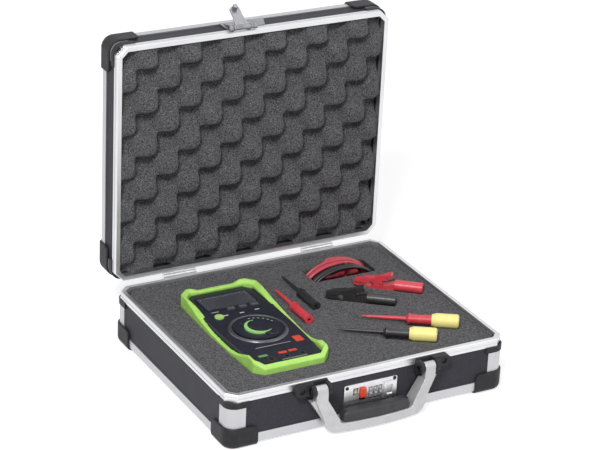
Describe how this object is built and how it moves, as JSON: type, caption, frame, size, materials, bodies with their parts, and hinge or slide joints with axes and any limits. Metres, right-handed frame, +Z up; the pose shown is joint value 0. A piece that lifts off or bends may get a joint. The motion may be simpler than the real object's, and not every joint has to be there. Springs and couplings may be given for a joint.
{
  "type": "multimeter set in a carrying case",
  "caption": "Hand-held multimeter in a rubber holster with test leads, probes and clips, in a foam-lined carrying case with aluminium edges, open lid and handle.",
  "frame": {"origin": "middle of the set's box on the surface that it stands on, lid open", "axes": "+X to the right of someone facing the handle, +Y towards the hinges, +Z up"},
  "size_m": [0.3494, 0.3554, 0.3789],
  "materials": {
    "charcoal_laminate": "satin",
    "anodised_aluminium": "satin",
    "corner_plastic": "satin",
    "dark_foam": "matte",
    "hinge_steel": "satin",
    "cast_alloy": "satin",
    "grip_rubber": "matte",
    "lock_alloy": "satin",
    "lock_interior": "matte",
    "dial_grey": "satin",
    "release_red": "gloss",
    "holster_green": "matte",
    "meter_navy": "satin",
    "display_glass": "gloss",
    "display_dark": "matte",
    "key_grey": "matte",
    "key_green": "matte",
    "socket_plastic": "satin",
    "circuit_green": "satin",
    "cell_jacket": "gloss",
    "red_plastic": "satin",
    "black_plastic": "satin",
    "yellow_plastic": "satin",
    "red_cable": "satin",
    "black_cable": "satin"
  },
  "bodies": {
    "base": {"base_bottom_board": "charcoal_laminate", "base_front_board": "charcoal_laminate", "base_wall_boards": "charcoal_laminate", "base_rim": "anodised_aluminium", "base_edge_trims": "anodised_aluminium", "base_corner_posts": "anodised_aluminium", "base_corner_caps": "corner_plastic", "base_corner_collars": "corner_plastic", "foam_inlay": "dark_foam", "foam_base": "dark_foam", "hinge_base_leaves": "hinge_steel", "hinge_pins": "hinge_steel", "handle_brackets": "corner_plastic", "handle_pins": "hinge_steel", "lock_plate": "lock_alloy", "lock_housing": "lock_interior", "red_lead": "red_cable", "black_lead": "black_cable", "red_lead_plugs": "red_plastic", "black_lead_plugs": "black_plastic"},
    "lid": {"lid_top_board": "charcoal_laminate", "lid_wall_boards": "charcoal_laminate", "lid_rim": "anodised_aluminium", "lid_edge_trims": "anodised_aluminium", "lid_corner_posts": "anodised_aluminium", "lid_corner_caps": "corner_plastic", "lid_corner_collars": "corner_plastic", "lid_foam": "dark_foam", "hinge_lid_leaves": "hinge_steel", "hasp_plate": "cast_alloy"},
    "hasp": {"hasp_flap": "cast_alloy"},
    "handle": {"handle_frame": "cast_alloy", "handle_grip": "grip_rubber"},
    "meter": {"meter_holster": "holster_green", "meter_front_shell": "meter_navy", "meter_rear_shell": "meter_navy", "meter_window": "display_glass", "meter_display": "display_dark", "meter_sockets": "socket_plastic", "meter_board": "circuit_green", "meter_batteries": "cell_jacket"},
    "meter_switch": {"meter_switch": "meter_navy"},
    "meter_power_key": {"meter_power_key": "key_green"},
    "lock_release": {"lock_release_button": "release_red"},
    "lock_dial_1": {"lock_dial_1": "dial_grey"},
    "lock_dial_2": {"lock_dial_2": "dial_grey"},
    "lock_dial_3": {"lock_dial_3": "dial_grey"},
    "meter_key_1": {"meter_key_1": "key_grey"},
    "meter_key_2": {"meter_key_2": "key_grey"},
    "meter_key_3": {"meter_key_3": "key_grey"},
    "red_probe": {"red_probe": "red_plastic"},
    "red_clip": {"red_clip_body": "red_plastic"},
    "red_clip_lever": {"red_clip_lever": "red_plastic"},
    "red_hook": {"red_hook_body": "red_plastic"},
    "red_hook_plunger": {"red_hook_plunger": "yellow_plastic"},
    "black_probe": {"black_probe": "black_plastic"},
    "black_clip": {"black_clip_body": "black_plastic"},
    "black_clip_lever": {"black_clip_lever": "black_plastic"},
    "black_hook": {"black_hook_body": "black_plastic"},
    "black_hook_plunger": {"black_hook_plunger": "yellow_plastic"}
  },
  "joints": [
    {"name": "lid_hinge", "type": "hinge", "parent": "base", "child": "lid", "pos_m": [0, 0.1328, 0.065], "axis": [1, 0, 0], "range_deg": [0, 90], "deforming": ["lid_foam"]},
    {"name": "hasp_hinge", "type": "hinge", "parent": "lid", "child": "hasp", "pos_m": [0, 0.1338, 0.3586], "axis": [1, 0, 0], "range_deg": [0, 147]},
    {"name": "handle_pivot", "type": "hinge", "parent": "base", "child": "handle", "pos_m": [0, -0.1657, 0.056], "axis": [-1, 0, 0], "range_deg": [0, 95]},
    {"name": "lock_dial_1_turn", "type": "hinge", "parent": "base", "child": "lock_dial_1", "pos_m": [0, -0.1507, 0.0335], "axis": [1, 0, 0], "continuous": true},
    {"name": "lock_dial_2_turn", "type": "hinge", "parent": "base", "child": "lock_dial_2", "pos_m": [0.006, -0.1507, 0.0335], "axis": [1, 0, 0], "continuous": true},
    {"name": "lock_dial_3_turn", "type": "hinge", "parent": "base", "child": "lock_dial_3", "pos_m": [0.012, -0.1507, 0.0335], "axis": [1, 0, 0], "continuous": true},
    {"name": "lock_release_slide", "type": "slide", "parent": "base", "child": "lock_release", "axis": [0, 0, -1], "range_m": [0, 0.004], "stiffness_N_per_m": 200},
    {"name": "meter_lift", "type": "slide", "parent": "base", "child": "meter", "axis": [0, 0, -1], "range_m": [-0.06, 0]},
    {"name": "meter_switch_turn", "type": "hinge", "parent": "meter", "child": "meter_switch", "pos_m": [-0.071, -0.0272, 0.0643], "axis": [0, 0, 1], "range_deg": [-140, 140]},
    {"name": "meter_power_key_press", "type": "slide", "parent": "meter", "child": "meter_power_key", "axis": [0, 0, -1], "range_m": [0, 0.001], "stiffness_N_per_m": 400},
    {"name": "meter_key_1_press", "type": "slide", "parent": "meter", "child": "meter_key_1", "axis": [0, 0, -1], "range_m": [0, 0.001], "stiffness_N_per_m": 400},
    {"name": "meter_key_2_press", "type": "slide", "parent": "meter", "child": "meter_key_2", "axis": [0, 0, -1], "range_m": [0, 0.001], "stiffness_N_per_m": 400},
    {"name": "meter_key_3_press", "type": "slide", "parent": "meter", "child": "meter_key_3", "axis": [0, 0, -1], "range_m": [0, 0.001], "stiffness_N_per_m": 400},
    {"name": "red_probe_lift", "type": "slide", "parent": "base", "child": "red_probe", "axis": [0, 0, -1], "range_m": [-0.03, 0]},
    {"name": "red_clip_lift", "type": "slide", "parent": "base", "child": "red_clip", "axis": [0, 0, -1], "range_m": [-0.03, 0]},
    {"name": "red_clip_lever_squeeze", "type": "hinge", "parent": "red_clip", "child": "red_clip_lever", "pos_m": [0.1133, 0.02347, 0.065], "axis": [0.6225, 0.7826, 0], "range_deg": [0, 18], "stiffness_Nm_per_rad": 0.05},
    {"name": "red_hook_lift", "type": "slide", "parent": "base", "child": "red_hook", "axis": [0, 0, -1], "range_m": [-0.03, 0]},
    {"name": "red_hook_plunger_press", "type": "slide", "parent": "red_hook", "child": "red_hook_plunger", "axis": [-0.8545, 0.5195, 0], "range_m": [0, 0.008], "stiffness_N_per_m": 150},
    {"name": "black_probe_lift", "type": "slide", "parent": "base", "child": "black_probe", "axis": [0, 0, -1], "range_m": [-0.03, 0]},
    {"name": "black_clip_lift", "type": "slide", "parent": "base", "child": "black_clip", "axis": [0, 0, -1], "range_m": [-0.03, 0]},
    {"name": "black_clip_lever_squeeze", "type": "hinge", "parent": "black_clip", "child": "black_clip_lever", "pos_m": [0.06711, 0.00728, 0.065], "axis": [0.5976, 0.8018, 0], "range_deg": [0, 18], "stiffness_Nm_per_rad": 0.05},
    {"name": "black_hook_lift", "type": "slide", "parent": "base", "child": "black_hook", "axis": [0, 0, -1], "range_m": [-0.03, 0]},
    {"name": "black_hook_plunger_press", "type": "slide", "parent": "black_hook", "child": "black_hook_plunger", "axis": [-0.8536, 0.521, 0], "range_m": [0, 0.008], "stiffness_N_per_m": 150}
  ]
}
